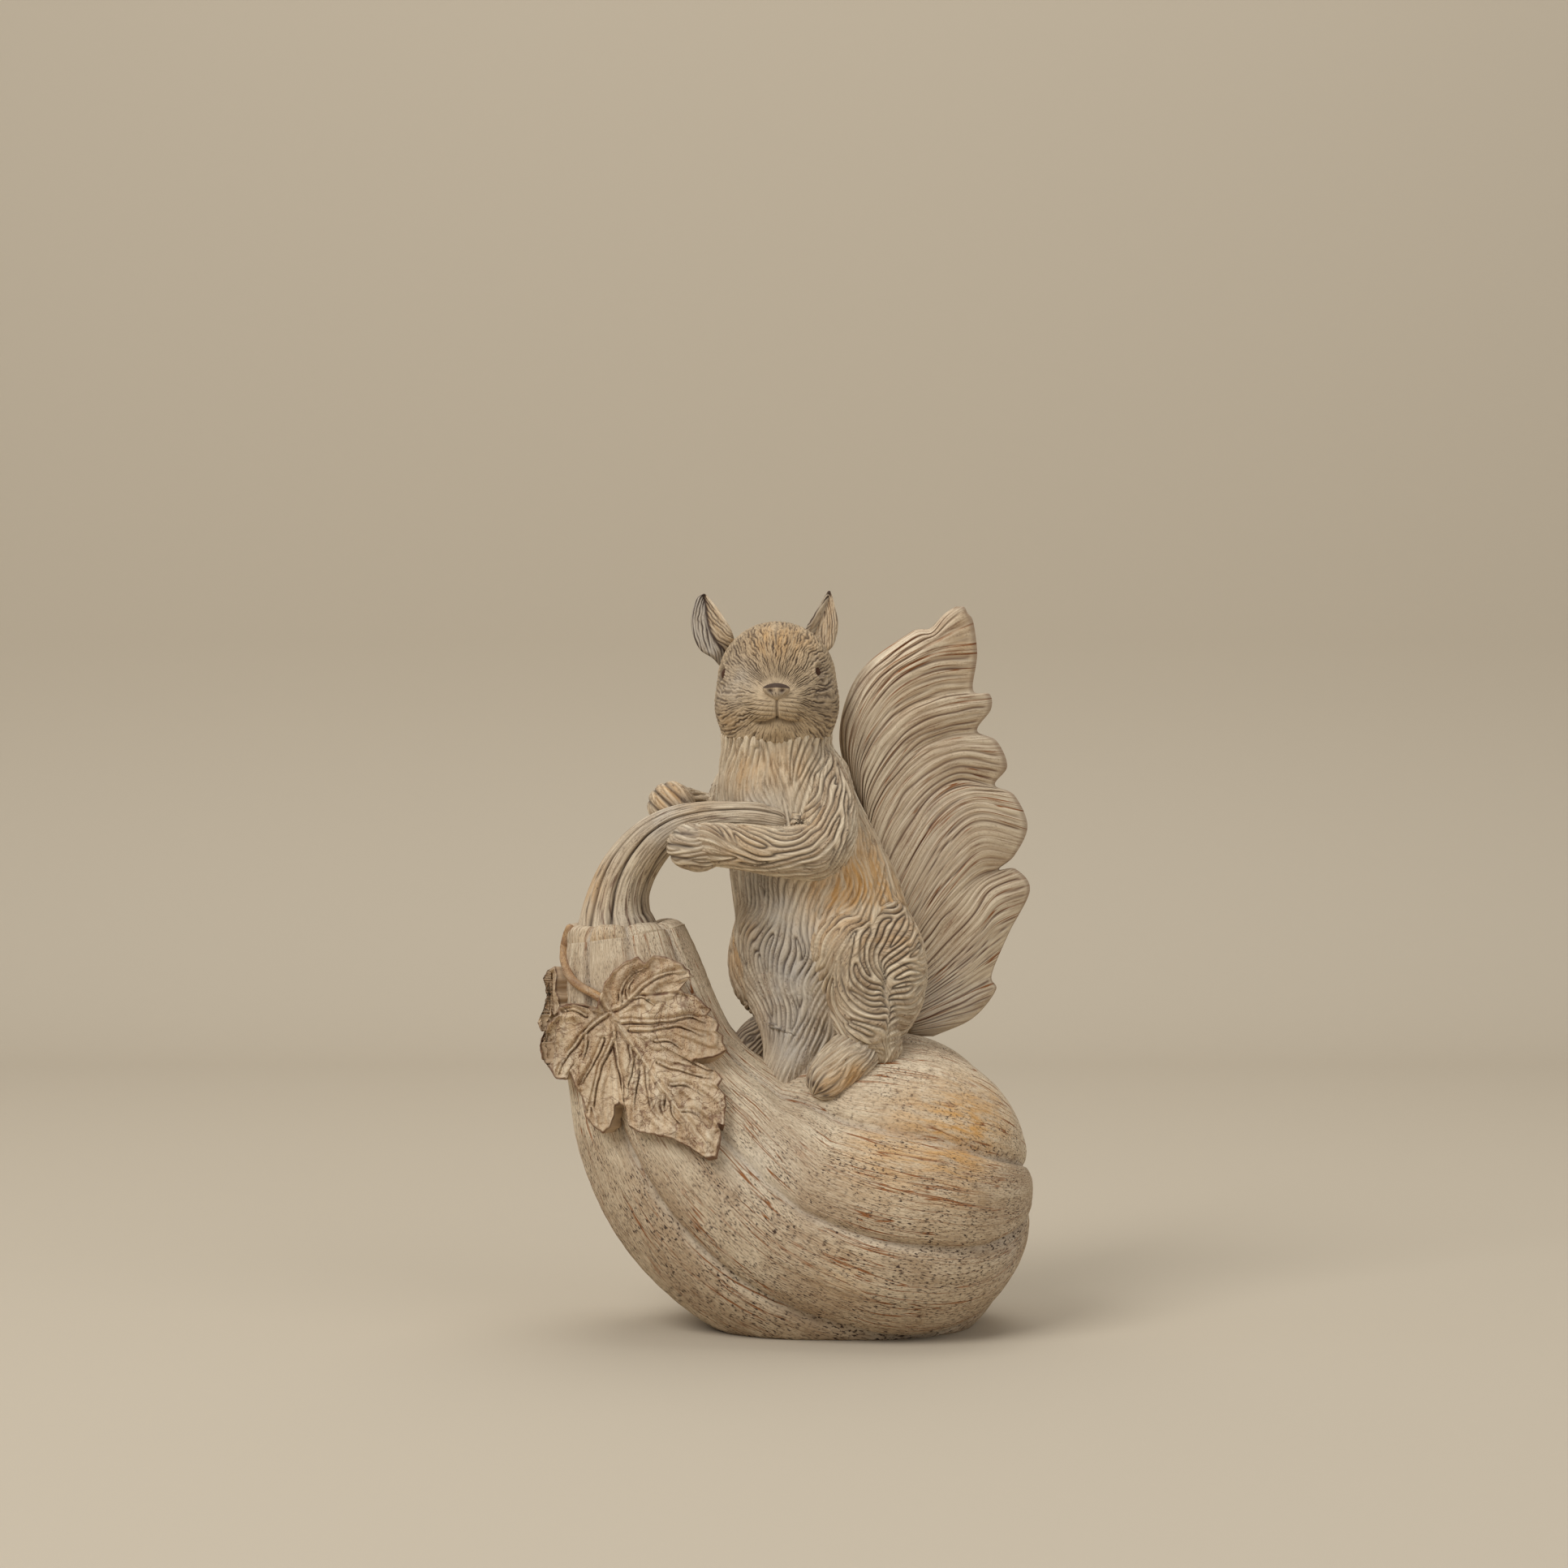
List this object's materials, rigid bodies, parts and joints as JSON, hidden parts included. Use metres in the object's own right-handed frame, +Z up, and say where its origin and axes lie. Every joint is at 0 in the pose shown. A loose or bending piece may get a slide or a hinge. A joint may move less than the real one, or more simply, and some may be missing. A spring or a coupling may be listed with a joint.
{
  "type": "garden figurine",
  "caption": "Free-standing ornament of a squirrel that stands on a lying crook-necked gourd and holds its stem.",
  "frame": {"origin": "centre of the gourd's flat foot, on the surface that it stands on", "axes": "+Z up, +X towards the gourd's blossom end, -Y towards the squirrel's face"},
  "size_m": [0.1699, 0.1098, 0.262],
  "materials": {
    "gourd": "matte",
    "plug": "matte",
    "stem": "matte",
    "leaf": "matte",
    "fur": "matte",
    "dark": "satin"
  },
  "bodies": {
    "root": {"gourd_shell": "gourd", "foot_plug": "plug", "stem_crown": "gourd", "stem": "stem", "leaf": "leaf", "leaf_stalk": "leaf", "torso": "fur", "head": "fur", "ear_left": "fur", "ear_right": "fur", "eye_left": "dark", "eye_right": "dark", "nose": "dark", "arm_left": "fur", "arm_right": "fur", "paw_left": "fur", "paw_right": "fur", "thigh_left": "fur", "thigh_right": "fur", "foot_left": "fur", "foot_right": "fur", "tail": "fur"}
  },
  "joints": []
}
